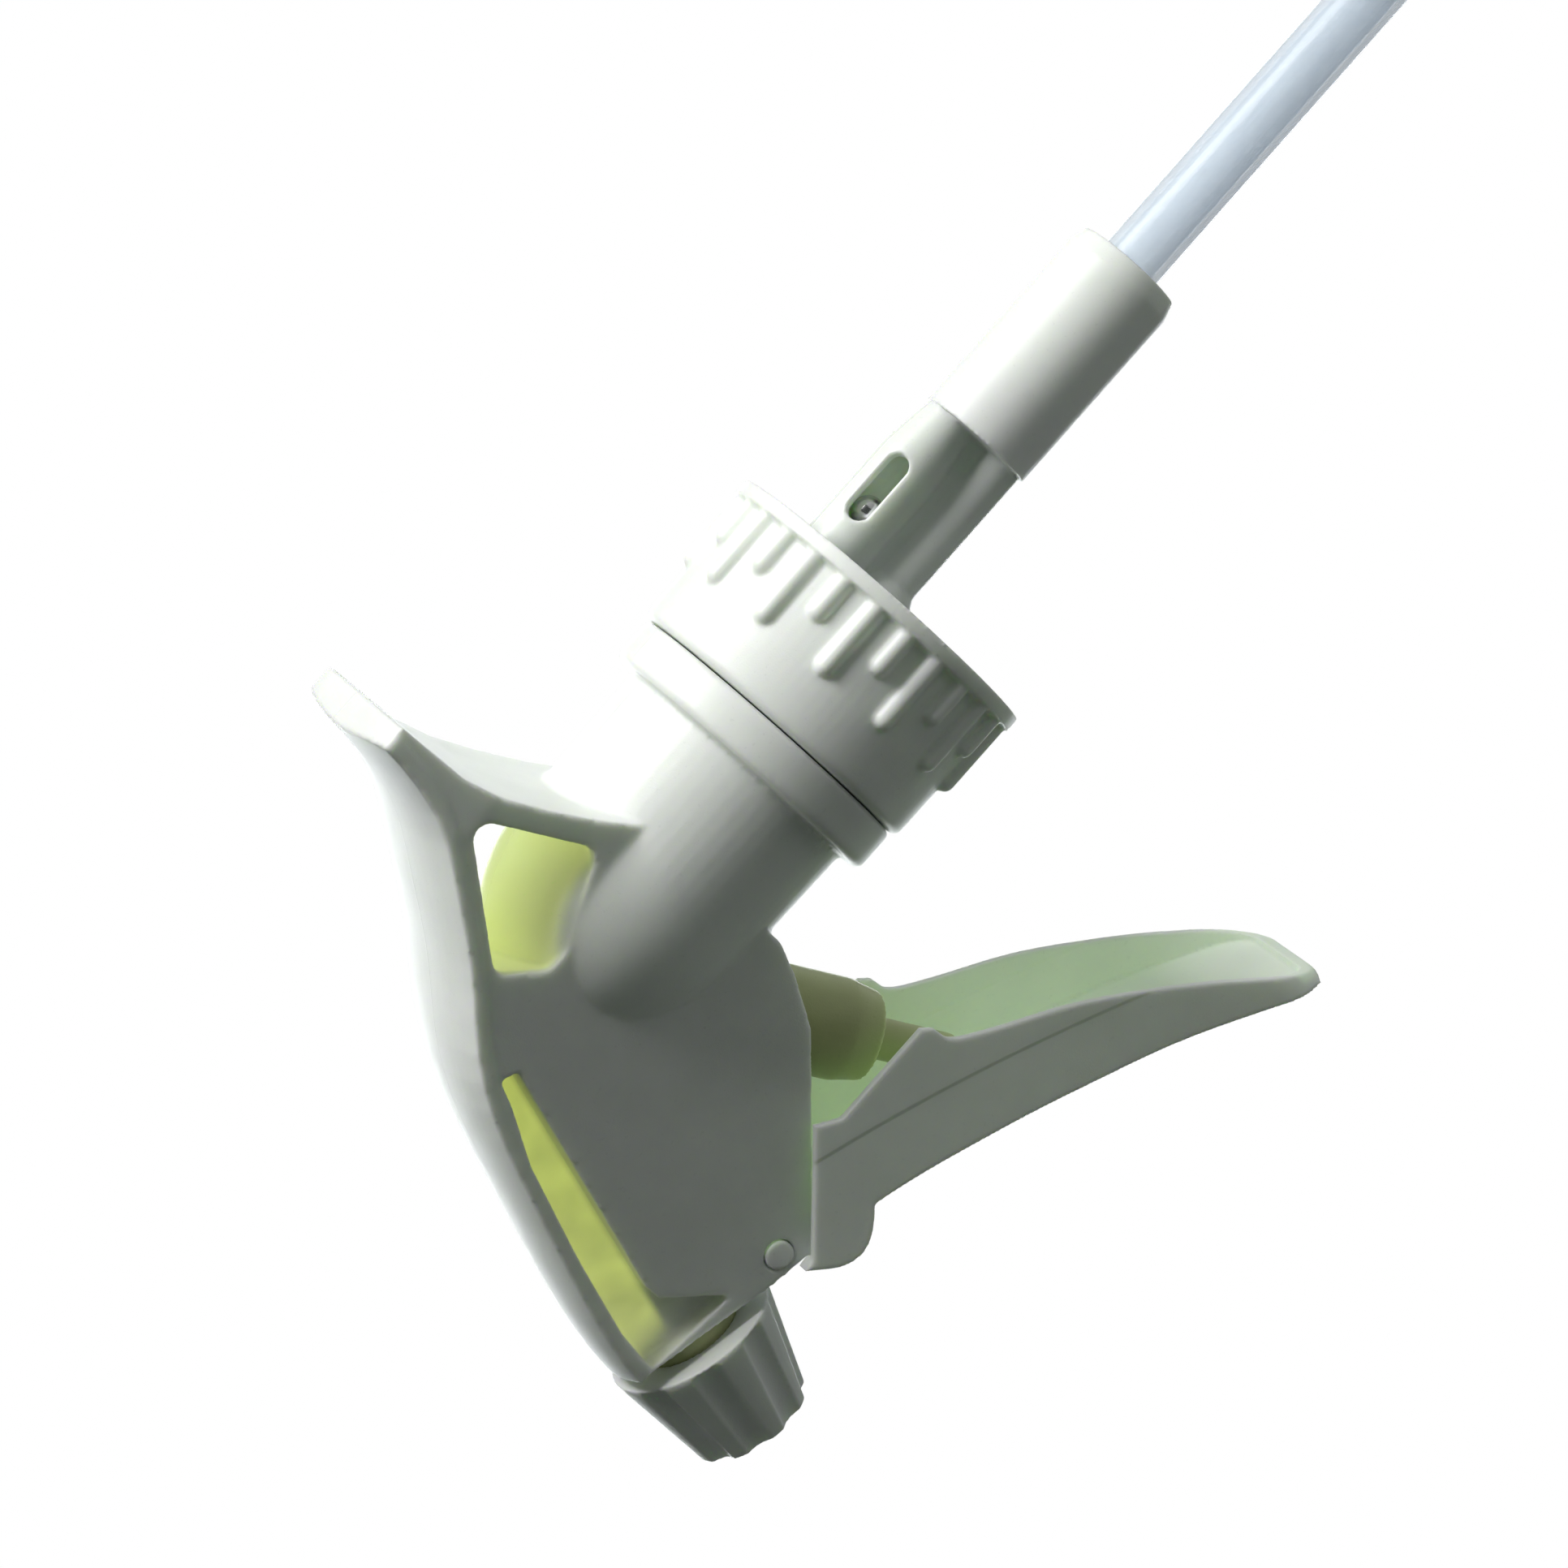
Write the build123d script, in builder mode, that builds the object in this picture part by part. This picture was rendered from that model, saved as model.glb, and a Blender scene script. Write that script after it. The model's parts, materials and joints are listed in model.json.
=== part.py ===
"""Trigger sprayer head for a 28 mm bottle neck, with valve stem and dip tube.

Frame: +Z up along the neck's axis, the nozzle faces -Y, and the object is symmetric about X = 0.
The origin is the centre of the closure's open rim. Millimetres.
"""
from build123d import *
from math import atan2, cos, hypot, pi, radians, sin, tan
import os

# ---------------------------------------------------------------- closure and bottle neck (28-400)
CLOSURE_WALL = 1.45
CLOSURE_TAPER = 0.15
CLOSURE_RIM_PROUD = 1.1
CLOSURE_RIM_H = 1.4
CLOSURE_HEIGHT = 15.5
CLOSURE_TOP_WALL = 2.5
CLOSURE_SHOULDER = 0.9
THREAD_ROOT_R = 14.05
THREAD_DEPTH = 1.15
THREAD_PITCH = 4.233
THREAD_TURNS = 1.2
THREAD_START_Z = 1.6
THREAD_LAND = 1.0
RIB_COUNT = 13
RIB_R = 1.0
RIB_PROUD = 0.9
RIB_LONG_Z = 9.7
RIB_SHORT_Z = 6.4
RIB_PHASE = 24.0

# ------------------------------------------------------------------------------------------ housing
FLANGE_GAP = 0.15
FLANGE_R = 14.8
FLANGE_H = 4.4
NECK_BASE_R = 12.65
NECK_TOP_R = 12.4
DOME_Z = 34.0
DOME_RISE = 17.5
DOME_FULLNESS = 0.87
NECK_WALL = 2.4
SEAT_BORE_R = 10.8
SEAT_BORE_H = 3.2
SHELL_PLAY = 0.3
SHELL_FRONT_Y = -33.0
SHELL_SPREAD = 0.097
TAIL_HALF_W = 11.4
SHELL_WALL = 1.0
FRONT_WALL = 1.4
FRONT_WALL_FOOT_Z = 54.2
BAND_THICKNESS = 1.5
BAND_OVERHANG = 0.2
BAND_CROWN = 1.3
BAND_STATIONS = 24
POCKET_HALF_W = 3.6
CHANNEL_HALF_W = 2.6

# ------------------------------------------------------------------------------------------ trigger
PIVOT = (-33.7, 51.3)
TRUNNION_R = 1.45
TRUNNION_PROUD = 0.25
HUB_R = 2.6
HUB_SIDE_GAP = 0.5
PLATE_CLEARANCE = 0.5
LEVER_OVERHANG = 2.5
LEVER_WALL = 0.95
LEVER_FRONT_WALL = 1.4
LEVER_TIP_Z = -2.3
LEVER_CORNER_R = 4.5
PAD_HALF_W = 2.6

# --------------------------------------------------------------------------------- pump and piston
BARREL_MOUTH = (-28.4, 30.65)
BARREL_TILT = 26.0
BARREL_BORE_R = 3.5
BARREL_WALL = 1.4
BARREL_LIP_STEP = 0.6
BARREL_DEPTH = 22.0
BARREL_LENGTH = 27.0
RISER_R = 4.4
RISER_BORE_R = 1.5
RISER_TOP_Z = 47.6
DISCHARGE_Z = 54.1
TUBE_R = 2.45
TUBE_BORE_R = 1.3
PISTON_HEAD_U = 2.0
PISTON_HEAD_L = 4.4
PISTON_ROD_R = 2.0
PISTON_TIP_U = -8.0
PISTON_CLEARANCE = 0.25
TIP_GAP = 0.3
SEAL_CLEARANCE = 0.05
SPRING_WIRE = 0.7
SPRING_R = 2.4
SPRING_TURNS = 6
SPRING_SEAT_GAP = 0.05

# ------------------------------------------------------------------------------------------- nozzle
NOZZLE_BASE = (-34.94, 62.16)
NOZZLE_TILT = 13.0
NOZZLE_WALL_T = -1.34
NOZZLE_SEAT = 0.5
CAP_WALL = 1.2
CAP_TAPER = 2.3
CAP_NOSE = 1.8
CAP_RIM = 0.6
CAP_END_RECESS = 0.5
CAP_FLUTES = 9
CAP_FLUTE_R = 2.0
CAP_FLUTE_DEPTH = 0.8
CAP_FLUTE_PHASE = -12.0
SPIGOT_R = 5.0
SPIGOT_LENGTH = 9.6
SPIGOT_BORE_R = 2.6
END_CLEARANCE = 0.15
INSERT_R = 2.15
RING_GROOVE_T = 3.5
RING_GROOVE_W = 1.2
RING_GROOVE_DEPTH = 1.0
SWIRL_LENGTH = 2.2
RUNNING_GAP = 0.06
VALVE_SEAT_T = 0.5
VALVE_STEM_L = 3.6
VALVE_SPRING_TURNS = 6
VALVE_SPRING_WIRE = 0.35
VALVE_SPRING_R = 1.35
VALVE_HEAD_R = 1.9
VALVE_HEAD_H = 0.8
ORIFICE_R = 0.35

# ------------------------------------------------------------------------------ stem, sleeve, tube
STEM_FLANGE_STEP = 0.8
STEM_FLANGE_H = 1.3
CLOSURE_PLAY = 0.3
GASKET_PLAY = 0.65
GASKET_WIDTH = 3.0
GASKET_H = 1.5
STEM_BOSS_R = 8.3
STEM_BOSS_Z = 8.0
FRONT_TUBE_Y = 0.5
FRONT_TUBE_R = 2.55
FRONT_BORE_R = 1.3
REAR_TUBE_Y = 6.9
REAR_TUBE_R = 3.3
BALL_R = 1.5875
BALL_PLAY = 0.3125
BALL_CHAMBER_TOP = -3.4
BALL_CHAMBER_FLOOR = -11.2
SLOT_WIDTH = 2.3
SLOT_HEIGHT = 7.5
SLOT_TURN = 40.0
BYPASS_R = 0.9
SLEEVE_Y = 3.65
SLEEVE_WALL = 0.85
SLEEVE_TOP = -16.6
SLEEVE_BOTTOM = -38.0
PLUG_R = 4.9
PLUG_DEPTH = 6.0
TUBE_OUTER_R = 3.0
TUBE_INNER_R = 2.3
TUBE_SEAT_Z = -26.0
TUBE_TIP_Z = -174.1
TUBE_TIP_CUT = 3.0
PRESS_GAP = 0.05
SPIGOT_STEM_R = 3.1
INLET_BALL_R = 2.0
INLET_LIFT = 1.5

os.makedirs("parts", exist_ok=True)

# ------------------------------------------------------------------------------------ derived sizes
flange_z = CLOSURE_HEIGHT + FLANGE_GAP
flange_top = flange_z + FLANGE_H
closure_ceiling = CLOSURE_HEIGHT - CLOSURE_TOP_WALL
stem_flange_top = closure_ceiling - CLOSURE_PLAY
stem_flange_z = stem_flange_top - STEM_FLANGE_H
gasket_z = stem_flange_z - GASKET_H
seat_ledge_z = flange_z + SEAT_BORE_H
neck_bore_r = NECK_TOP_R - NECK_WALL
hub_r = SEAT_BORE_R - 0.6
closure_hole_r = hub_r + 0.4
closure_skirt_r = THREAD_ROOT_R + CLOSURE_WALL
closure_top_r = closure_skirt_r - CLOSURE_TAPER
closure_rim_r = closure_skirt_r + CLOSURE_RIM_PROUD
thread_crest_r = THREAD_ROOT_R - THREAD_DEPTH
gasket_r = THREAD_ROOT_R - GASKET_PLAY
gasket_bore_r = gasket_r - GASKET_WIDTH
stem_flange_r = gasket_r - STEM_FLANGE_STEP
barrel_r = BARREL_BORE_R + BARREL_WALL
barrel_lip_r = barrel_r - BARREL_LIP_STEP
shell_half_w = barrel_r + SHELL_WALL + SHELL_PLAY
lever_half_w = shell_half_w + LEVER_OVERHANG
cap_length = SPIGOT_LENGTH + CAP_NOSE
cap_front_r = SPIGOT_R + CAP_WALL
cap_base_r = cap_front_r + CAP_TAPER
ball_bore_r = BALL_R + BALL_PLAY
sleeve_bore_r = PLUG_R + PRESS_GAP
sleeve_r = sleeve_bore_r + SLEEVE_WALL


def half_width(y):
    """Half-width of the housing's flat sides, which spread towards the rear."""
    return min(shell_half_w + SHELL_SPREAD * (y - SHELL_FRONT_Y), TAIL_HALF_W)


def axial_plane(y, z, tilt):
    """A plane through X whose local Y runs along an axis in the YZ plane, tilted from +Y."""
    a = radians(tilt)
    return Plane(origin=(0, y, z), x_dir=(1, 0, 0), z_dir=(0, -sin(a), cos(a)))


neck = Plane.XZ
barrel = axial_plane(*BARREL_MOUTH, BARREL_TILT)
nozzle = axial_plane(*NOZZLE_BASE, 180 - NOZZLE_TILT)


def along(plane):
    """The axis of a turned piece: the plane's local Y through its origin."""
    return Axis(plane.origin, plane.y_dir)


def turned(plane, *outline):
    """A turned piece: an outline of (radius, distance along the axis) points, revolved."""
    with BuildPart(mode=Mode.PRIVATE) as piece:
        with BuildSketch(plane):
            with BuildLine():
                Polyline(*outline, close=True)
            make_face()
        revolve(axis=along(plane))
    return piece.part


def rod(plane, radius, start, end):
    """A plain round bar along a turned piece's axis."""
    return turned(plane, (0, start), (radius, start), (radius, end), (0, end))


def side_prism(outline, half):
    """A side-view outline of (y, z) points, extruded to both sides of X = 0."""
    with BuildPart(mode=Mode.PRIVATE) as piece:
        with BuildSketch(Plane.YZ):
            with BuildLine():
                Polyline(*outline, close=True)
            make_face()
        extrude(amount=half, both=True)
    return piece.part


def wedge(inset, y0=-45.0, y1=50.0, z0=10.0, z1=80.0):
    """The block between the housing's flat sides, drawn in by an inset."""
    knee = SHELL_FRONT_Y + (TAIL_HALF_W - shell_half_w) / SHELL_SPREAD
    right = [(half_width(y) - inset, y) for y in (y0, knee, y1)]
    left = [(-x, y) for x, y in reversed(right)]
    with BuildPart(mode=Mode.PRIVATE) as block:
        with BuildSketch(Plane.XY.offset(z0)):
            with BuildLine():
                Polyline(*right, *left, close=True)
            make_face()
        extrude(amount=z1 - z0)
    return block.part


def coil(plane, radius, wire, start, end, turns):
    """A compression spring wound along a turned piece's axis, clear of both its seats."""
    height = end - start - 2 * wire
    base = Plane(origin=plane.origin + plane.y_dir * (start + wire), x_dir=(1, 0, 0), z_dir=plane.y_dir)
    with BuildPart(mode=Mode.PRIVATE) as piece:
        with BuildLine():
            path = Helix(pitch=height / turns, height=height, radius=radius, center=base.origin,
                         direction=base.z_dir)
        with BuildSketch(Plane(origin=path @ 0, z_dir=path % 0)):
            Circle(wire / 2)
        sweep(path=path.edge(), is_frenet=True)
    return piece.part


def finish(piece, name):
    """Label a finished piece and write it."""
    piece.label = name
    export_step(piece, f"parts/{name}.step")


# ------------------------------------------------------------------------------------------ closure
with BuildPart() as closure:
    with BuildSketch(neck):
        with BuildLine():
            Polyline(
                (closure_hole_r, closure_ceiling), (closure_hole_r, CLOSURE_HEIGHT),
                (closure_top_r - CLOSURE_SHOULDER, CLOSURE_HEIGHT),
            )
            RadiusArc(
                (closure_top_r - CLOSURE_SHOULDER, CLOSURE_HEIGHT),
                (closure_top_r, CLOSURE_HEIGHT - CLOSURE_SHOULDER), CLOSURE_SHOULDER,
            )
            Polyline(
                (closure_top_r, CLOSURE_HEIGHT - CLOSURE_SHOULDER),
                (closure_skirt_r, CLOSURE_RIM_H + 0.3), (closure_rim_r, CLOSURE_RIM_H),
                (closure_rim_r, 0), (THREAD_ROOT_R, 0),
                (THREAD_ROOT_R, closure_ceiling), (closure_hole_r, closure_ceiling),
            )
        make_face()
    revolve(axis=Axis.Z)
    for step in range(2 * RIB_COUNT):
        angle = RIB_PHASE + step * 180 / RIB_COUNT
        top = RIB_LONG_Z if step % 2 == 0 else RIB_SHORT_Z
        centre_r = closure_skirt_r + RIB_PROUD - RIB_R
        x, y = centre_r * cos(radians(angle)), centre_r * sin(radians(angle))
        with Locations((x, y, CLOSURE_RIM_H / 2)):
            Cylinder(RIB_R, top - RIB_R - CLOSURE_RIM_H / 2, align=(Align.CENTER, Align.CENTER, Align.MIN))
        with Locations((x, y, top - RIB_R)):
            Sphere(RIB_R)
    with BuildLine():
        thread_path = Helix(pitch=THREAD_PITCH, height=THREAD_TURNS * THREAD_PITCH, radius=THREAD_ROOT_R,
                            center=(0, 0, THREAD_START_Z))
    with BuildSketch(Plane(origin=thread_path @ 0, x_dir=(1, 0, 0), z_dir=(0, -1, 0))):
        with BuildLine():
            Polyline(
                (0.4, -THREAD_LAND), (0.4, THREAD_LAND),
                (thread_crest_r - THREAD_ROOT_R, THREAD_LAND / 2),
                (thread_crest_r - THREAD_ROOT_R, -THREAD_LAND / 2), close=True,
            )
        make_face()
    sweep(path=thread_path.edge(), is_frenet=True)
finish(closure.part, "closure")


# ------------------------------------------------------------------------------------------ housing
# Side view, as (y, z): the crown line of the top band, from the front corner back to the tail.
crown = [(-31.9, 69.9), (-26.6, 69.1), (-17.5, 66.4), (-7.5, 62.9), (0.8, 59.4), (5.5, 56.2),
         (10.5, 51.9), (17.5, 47.0), (23.0, 43.6)]
plate_corner = (-36.3, 49.1)
plate_lower = [(-20.1, 33.7), (-14.9, 31.0), (-11.5, 29.7)]
saddle = [(7.0, 29.9), (11.4, 32.6), (15.6, 34.8), (20.1, 36.8), (24.0, 37.8)]
TAIL_END_Y = 32.8
TAIL_TOP_Z = 41.4
TAIL_FOOT_Z = 38.1
TAIL_CORNER_R = 9.0
pocket_shelf = [(-32.4, 57.2), (-27.1, 61.6), (-25.2, 61.6), (0.1, 54.4)]
window = [(8.6, 49.2), (4.7, 45.6), (4.7, 43.2), (9.3, 34.5), (21.2, 40.1)]
window_corner = 1.5


def band_slab(stations):
    """The crowned top band, lofted through cross-sections that stand across the side view."""
    with BuildPart(mode=Mode.PRIVATE) as slab:
        for y, z in stations:
            half = half_width(y) + BAND_OVERHANG
            edge_z = z - BAND_CROWN
            with BuildSketch(Plane(origin=(0, y, 0), x_dir=(1, 0, 0), z_dir=(0, -1, 0))):
                with BuildLine():
                    ThreePointArc((-half, edge_z), (0, z), (half, edge_z))
                    Polyline(
                        (half, edge_z), (half, edge_z - BAND_THICKNESS),
                        (-half, edge_z - BAND_THICKNESS), (-half, edge_z),
                    )
                make_face()
        loft(ruled=True)
    return slab.part


def dome_outline(radius, rise):
    """The dome over the neck: half of an upright, near-elliptical curve."""
    return Spline(
        (radius, DOME_Z), (radius * DOME_FULLNESS, DOME_Z + rise / 2),
        (radius / 2, DOME_Z + rise * DOME_FULLNESS), (0, DOME_Z + rise), tangents=((0, 1), (-1, 0)),
    )


wall_lean = tan(radians(NOZZLE_TILT))
front_foot = (-35.3, FRONT_WALL_FOOT_Z)
spigot_foot = NOZZLE_WALL_T - FRONT_WALL + NOZZLE_SEAT
front_head = (front_foot[0] + (crown[0][1] - front_foot[1]) * wall_lean, crown[0][1])
under_band = [(y, z - BAND_CROWN - BAND_THICKNESS / 2) for y, z in crown]
shell_side = [
    front_foot, (front_head[0], under_band[0][1]), *under_band[1:],
    (TAIL_END_Y, TAIL_TOP_Z - BAND_THICKNESS), (TAIL_END_Y, TAIL_FOOT_Z), *reversed(saddle),
    plate_lower[-1], plate_lower[-2], plate_lower[-3], plate_corner,
]
band_line = Spline(
    (0, front_head[0] + 0.05, crown[0][1]), *[(0, y, z) for y, z in crown[1:]],
    (0, (crown[-1][0] + TAIL_END_Y) / 2, TAIL_TOP_Z + 0.8), (0, TAIL_END_Y, TAIL_TOP_Z + 0.3),
)
band_points = [band_line @ (step / BAND_STATIONS) for step in range(BAND_STATIONS + 1)]
band = band_slab([(point.Y, point.Z) for point in band_points])

with BuildPart() as housing:
    add(side_prism(shell_side, 20.0))
    add(wedge(0), mode=Mode.INTERSECT)
    with BuildSketch(Plane.YZ):
        with BuildLine():
            Polyline(*window, close=True)
        make_face()
        fillet(vertices(), window_corner)
    extrude(amount=20.0, both=True, mode=Mode.SUBTRACT)
    pocket = [
        (pocket_shelf[0][0] - 0.3, pocket_shelf[0][1] - 0.2), *pocket_shelf[1:],
        (0.9, 56.0), (-2.0, 57.2),
        *[(y, z - BAND_CROWN - BAND_THICKNESS) for y, z in reversed(crown[1:4])],
        (-31.6, 67.0),
    ]
    for side in (1, -1):
        with BuildSketch(Plane.YZ.offset(side * POCKET_HALF_W)):
            with BuildLine():
                Polyline(*pocket, close=True)
            make_face()
        extrude(amount=side * 20.0, mode=Mode.SUBTRACT)
    add(band)
    with BuildSketch(Plane.XY.offset(10)):
        with Locations((0, TAIL_END_Y - 20)):
            Rectangle(2 * TAIL_HALF_W + 10, 40)
        fillet(vertices().group_by(Axis.Y)[-1], TAIL_CORNER_R)
        with Locations((0, TAIL_END_Y - 90)):
            Rectangle(2 * TAIL_HALF_W + 10, 110)
    extrude(amount=80, mode=Mode.INTERSECT)
    with BuildSketch(neck):
        with BuildLine():
            Polyline((0, flange_z), (FLANGE_R - 0.3, flange_z), (FLANGE_R, flange_z + 0.3),
                     (FLANGE_R, flange_top - 0.8))
            RadiusArc((FLANGE_R, flange_top - 0.8), (FLANGE_R - 0.8, flange_top), -0.8)
            Polyline((FLANGE_R - 0.8, flange_top), (NECK_BASE_R, flange_top), (NECK_TOP_R, DOME_Z))
            dome_outline(NECK_TOP_R, DOME_RISE)
            Line((0, DOME_Z + DOME_RISE), (0, flange_z))
        make_face()
    revolve(axis=Axis.Z)
    # hollow: the neck, the space between the plates, and the channel for the discharge tube
    with BuildSketch(neck):
        with BuildLine():
            Polyline((0, flange_z), (SEAT_BORE_R, flange_z), (SEAT_BORE_R, seat_ledge_z),
                     (neck_bore_r, seat_ledge_z), (neck_bore_r, DOME_Z))
            dome_outline(neck_bore_r, DOME_RISE - NECK_WALL)
            Line((0, DOME_Z + DOME_RISE - NECK_WALL), (0, flange_z))
        make_face()
    revolve(axis=Axis.Z, mode=Mode.SUBTRACT)
    add(side_prism([
        (-45.0, FRONT_WALL_FOOT_Z), (front_foot[0] + FRONT_WALL, FRONT_WALL_FOOT_Z),
        (pocket_shelf[0][0] + 1.2, pocket_shelf[0][1] - 1.4),
        (pocket_shelf[1][0] + 0.2, pocket_shelf[1][1] - SHELL_WALL), (pocket_shelf[2][0], 60.6),
        (0.0, 53.4), (3.6, 52.4), (3.6, 31.0), (-14.0, 31.0), (-14.0, 20.0), (-45.0, 20.0),
    ], 20.0) & wedge(SHELL_WALL), mode=Mode.SUBTRACT)
    add(side_prism([
        (front_head[0] - 1.3, 64.8), (-10.0, 60.2), (2.9, 57.4), (2.9, 45.0), (-4.0, 45.0), (-32.6, 57.0),
    ], CHANNEL_HALF_W), mode=Mode.SUBTRACT)
    add(rod(nozzle, SPIGOT_R + 2 * PRESS_GAP, spigot_foot, SPIGOT_LENGTH), mode=Mode.SUBTRACT)
    add(rod(nozzle, TUBE_R + 2 * PRESS_GAP, spigot_foot - FRONT_WALL, SPIGOT_LENGTH), mode=Mode.SUBTRACT)
    with BuildSketch(Plane.YZ):
        with Locations(PIVOT):
            Circle(TRUNNION_R + RUNNING_GAP)
    extrude(amount=10.0, both=True, mode=Mode.SUBTRACT)
finish(housing.part, "housing")

# --------------------------------------------------------------------------------------- pump body
riser_t = -NOZZLE_BASE[0] / cos(radians(NOZZLE_TILT))
inlet_seat_z = stem_flange_top + 5.6
inlet_ball_z = inlet_seat_z + 1.35
inlet_stop_z = inlet_ball_z + INLET_LIFT + INLET_BALL_R
seal_z = stem_flange_top + 1.9
SEAL_H = 1.2
SEAL_GROOVE_R = 4.3
VENT_RING_R = 7.0
VENT_RING_BORE_R = 4.6
VENT_RECESS = 0.8

with BuildPart() as pump_body:
    add(turned(neck, (0, stem_flange_top), (hub_r, stem_flange_top), (hub_r, flange_z),
               (SEAT_BORE_R - 2 * PRESS_GAP, flange_z), (SEAT_BORE_R - 2 * PRESS_GAP, seat_ledge_z),
               (RISER_R + 1.5, seat_ledge_z), (RISER_R, seat_ledge_z + 1.5), (RISER_R, RISER_TOP_Z - 1.0),
               (RISER_R - 1.0, RISER_TOP_Z), (0, RISER_TOP_Z)))
    add(turned(neck, (0, RISER_TOP_Z - 1), (TUBE_R, RISER_TOP_Z - 1), (TUBE_R, DISCHARGE_Z),
               (0, DISCHARGE_Z)))
    with Locations((0, 0, DISCHARGE_Z)):
        Sphere(TUBE_R)
    add(turned(barrel, (0, 0), (barrel_lip_r, 0), (barrel_lip_r + 0.2, 1.2), (barrel_r, 3.0),
               (barrel_r, BARREL_LENGTH), (0, BARREL_LENGTH)))
    add(rod(nozzle, TUBE_R, -riser_t, spigot_foot + 0.5))
    add(turned(nozzle, (0, spigot_foot), (SPIGOT_R, spigot_foot), (SPIGOT_R, SPIGOT_LENGTH - 0.5),
               (SPIGOT_R - 0.5, SPIGOT_LENGTH), (0, SPIGOT_LENGTH)))
    # passages: stem socket, inlet chamber, riser, barrel, discharge tube and valve chamber
    socket_r = SPIGOT_STEM_R + PRESS_GAP
    chamber_r = INLET_BALL_R + 0.35
    add(turned(neck, (VENT_RING_BORE_R - 0.2, 0), (VENT_RING_R + 0.3, 0),
               (VENT_RING_R + 0.3, stem_flange_top + VENT_RECESS),
               (VENT_RING_BORE_R - 0.2, stem_flange_top + VENT_RECESS)), mode=Mode.SUBTRACT)
    add(turned(neck, (0, 0), (socket_r, 0), (socket_r, seal_z), (SEAL_GROOVE_R, seal_z),
               (SEAL_GROOVE_R, seal_z + SEAL_H), (socket_r, seal_z + SEAL_H),
               (socket_r, inlet_seat_z + 0.1), (chamber_r, inlet_seat_z + 0.1),
               (chamber_r, inlet_stop_z - 0.6), (RISER_BORE_R, inlet_stop_z),
               (RISER_BORE_R, DISCHARGE_Z), (0, DISCHARGE_Z)), mode=Mode.SUBTRACT)
    add(rod(barrel, BARREL_BORE_R, -1.0, BARREL_DEPTH), mode=Mode.SUBTRACT)
    add(rod(barrel, 0.9, BARREL_DEPTH - 1, BARREL_LENGTH + 5), mode=Mode.SUBTRACT)
    add(rod(nozzle, TUBE_BORE_R, -riser_t, VALVE_SEAT_T), mode=Mode.SUBTRACT)
    add(rod(nozzle, SPIGOT_BORE_R, VALVE_SEAT_T, SPIGOT_LENGTH + 1), mode=Mode.SUBTRACT)
    groove_r = SPIGOT_R - RING_GROOVE_DEPTH
    groove_end = RING_GROOVE_T + RING_GROOVE_W
    add(turned(nozzle, (groove_r, RING_GROOVE_T), (SPIGOT_R + 1, RING_GROOVE_T), (SPIGOT_R + 1, groove_end),
               (groove_r, groove_end)), mode=Mode.SUBTRACT)
finish(pump_body.part, "pump_body")

with BuildPart() as body_seal:
    add(turned(neck, (socket_r, seal_z), (SEAL_GROOVE_R - 0.05, seal_z),
               (SEAL_GROOVE_R - 0.05, seal_z + SEAL_H), (socket_r, seal_z + SEAL_H)))
    fillet(body_seal.edges(), 0.3)
finish(body_seal.part, "body_seal")

with BuildPart() as vent_seal:
    add(turned(neck, (VENT_RING_BORE_R, stem_flange_top), (VENT_RING_R, stem_flange_top),
               (VENT_RING_R, stem_flange_top + 0.6), (VENT_RING_BORE_R, stem_flange_top + 0.6)))
    fillet(vent_seal.edges().group_by(Axis.Z)[-1], 0.2)
finish(vent_seal.part, "vent_seal")

# ------------------------------------------------------------------------- piston, seal and spring
SEAL_U = PISTON_HEAD_U + 1.2
PISTON_SEAL_L = 1.8
head_r = BARREL_BORE_R - PISTON_CLEARANCE
head_end = PISTON_HEAD_U + PISTON_HEAD_L
with BuildPart() as piston:
    add(turned(barrel, (0, PISTON_TIP_U), (PISTON_ROD_R, PISTON_TIP_U), (PISTON_ROD_R, PISTON_HEAD_U - 0.8),
               (head_r, PISTON_HEAD_U), (head_r, SEAL_U), (head_r - 0.9, SEAL_U),
               (head_r - 0.9, SEAL_U + PISTON_SEAL_L), (head_r, SEAL_U + PISTON_SEAL_L),
               (head_r, head_end), (1.4, head_end), (1.2, head_end + 2.4), (0, head_end + 2.4)))
    with Locations(barrel.origin + barrel.y_dir * PISTON_TIP_U):
        Sphere(PISTON_ROD_R)
finish(piston.part, "piston")

with BuildPart() as piston_seal:
    add(turned(barrel, (head_r - 0.9, SEAL_U), (BARREL_BORE_R - SEAL_CLEARANCE - 0.15, SEAL_U),
               (BARREL_BORE_R - SEAL_CLEARANCE - 0.4, SEAL_U + PISTON_SEAL_L / 2),
               (BARREL_BORE_R - SEAL_CLEARANCE, SEAL_U + PISTON_SEAL_L),
               (head_r - 0.9, SEAL_U + PISTON_SEAL_L)))
finish(piston_seal.part, "piston_seal")

with BuildPart() as return_spring:
    add(coil(barrel, SPRING_R, SPRING_WIRE, head_end + SPRING_SEAT_GAP, BARREL_DEPTH - SPRING_SEAT_GAP,
             SPRING_TURNS))
finish(return_spring.part, "return_spring")

# ------------------------------------------------------------------------------------------ trigger
# Side view, as (y, z): front outline from the bump under the nozzle to the tip, then the rear edges.
lever_front = [(-35.6, 50.8), (-37.0, 49.5), (-38.5, 47.6), (-38.8, 45.6), (-37.9, 43.6), (-36.4, 41.9),
               (-38.7, 35.0), (-40.0, 31.7), (-42.7, 25.2), (-45.6, 18.9), (-48.6, 12.7), (-52.0, 6.9),
               (-55.7, 1.2)]
lever_bump = 5
lever_tip = [(-57.4, -1.6), (-57.1, LEVER_TIP_Z), (-56.4, LEVER_TIP_Z)]
lever_rear = [(-55.2, -1.3), (-52.1, 1.4), (-47.2, 5.9), (-42.4, 10.9), (-38.2, 15.8), (-34.9, 20.6),
              (-31.5, 25.3)]
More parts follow.
